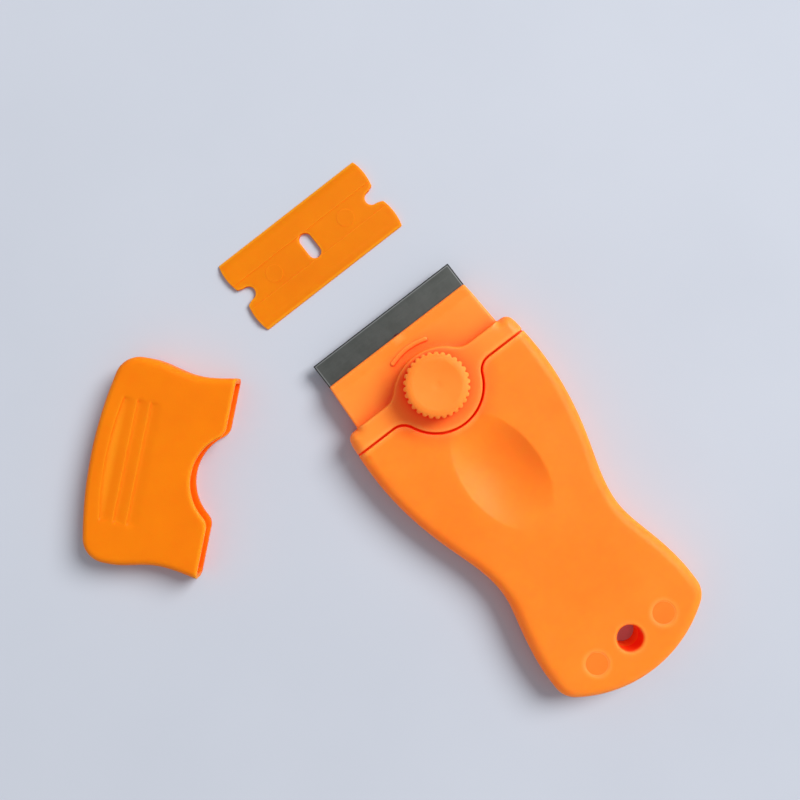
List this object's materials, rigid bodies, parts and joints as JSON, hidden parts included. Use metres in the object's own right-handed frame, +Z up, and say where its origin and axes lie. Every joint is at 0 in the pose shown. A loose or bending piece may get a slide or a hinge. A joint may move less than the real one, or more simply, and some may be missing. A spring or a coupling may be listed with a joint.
{
  "type": "algae scraper",
  "caption": "Flat waisted hand scraper with a screw-down blade clamp, thumb dish and hanging hole, with its push-on blade cover and a spare plastic blade lying beside it.",
  "frame": {"origin": "centre of the hanging hole, on the underside of the handle", "axes": "+Y along the tool towards the cutting edge, +X to the right seen from above, +Z up out of the knob"},
  "size_m": [0.121, 0.1483, 0.0155],
  "materials": {
    "handle_plastic": "satin moulded orange plastic, slightly translucent",
    "clamp_plastic": "satin moulded orange plastic, slightly translucent",
    "knob_plastic": "matt moulded orange plastic",
    "cover_plastic": "satin moulded orange plastic",
    "spare_blade_plastic": "satin moulded orange plastic",
    "blade_steel": "dark ground steel",
    "screw_steel": "bright zinc plated steel"
  },
  "bodies": {
    "handle": {"handle_lower_shell": "handle_plastic", "handle_upper_shell": "handle_plastic", "joining_pin_left": "handle_plastic", "joining_pin_right": "handle_plastic", "captive_nut": "screw_steel"},
    "clamp": {"clamp_plate": "clamp_plastic"},
    "knob": {"clamp_knob": "knob_plastic", "knob_stud": "screw_steel", "knob_washer": "screw_steel"},
    "fitted_blade": {"steel_blade": "blade_steel"},
    "cover": {"blade_cover": "cover_plastic"},
    "spare_blade": {"spare_plastic_blade": "spare_blade_plastic"}
  },
  "joints": [
    {"name": "clamp_lift", "type": "slide", "parent": "handle", "child": "clamp", "axis": [0, 0, 1], "range_m": [0, 0.0021]},
    {"name": "knob_turn", "type": "hinge", "parent": "clamp", "child": "knob", "pos_m": [0, 0.079, 0.009], "axis": [0, 0, 1], "range_deg": [0, 1081]},
    {"name": "blade_lift", "type": "slide", "parent": "handle", "child": "fitted_blade", "axis": [0, 0, 1], "range_m": [0, 0.0011]},
    {"name": "cover_lift", "type": "slide", "parent": "handle", "child": "cover", "axis": [0, 0, 1], "range_m": [0, 0.08]},
    {"name": "spare_blade_lift", "type": "slide", "parent": "handle", "child": "spare_blade", "axis": [0, 0, 1], "range_m": [0, 0.08]}
  ],
  "couplings": [
    {"joint": "knob_turn", "follows": "clamp_lift", "rad_per_m": 8976},
    {"joint": "blade_lift", "follows": "clamp_lift", "ratio": 0.5}
  ]
}
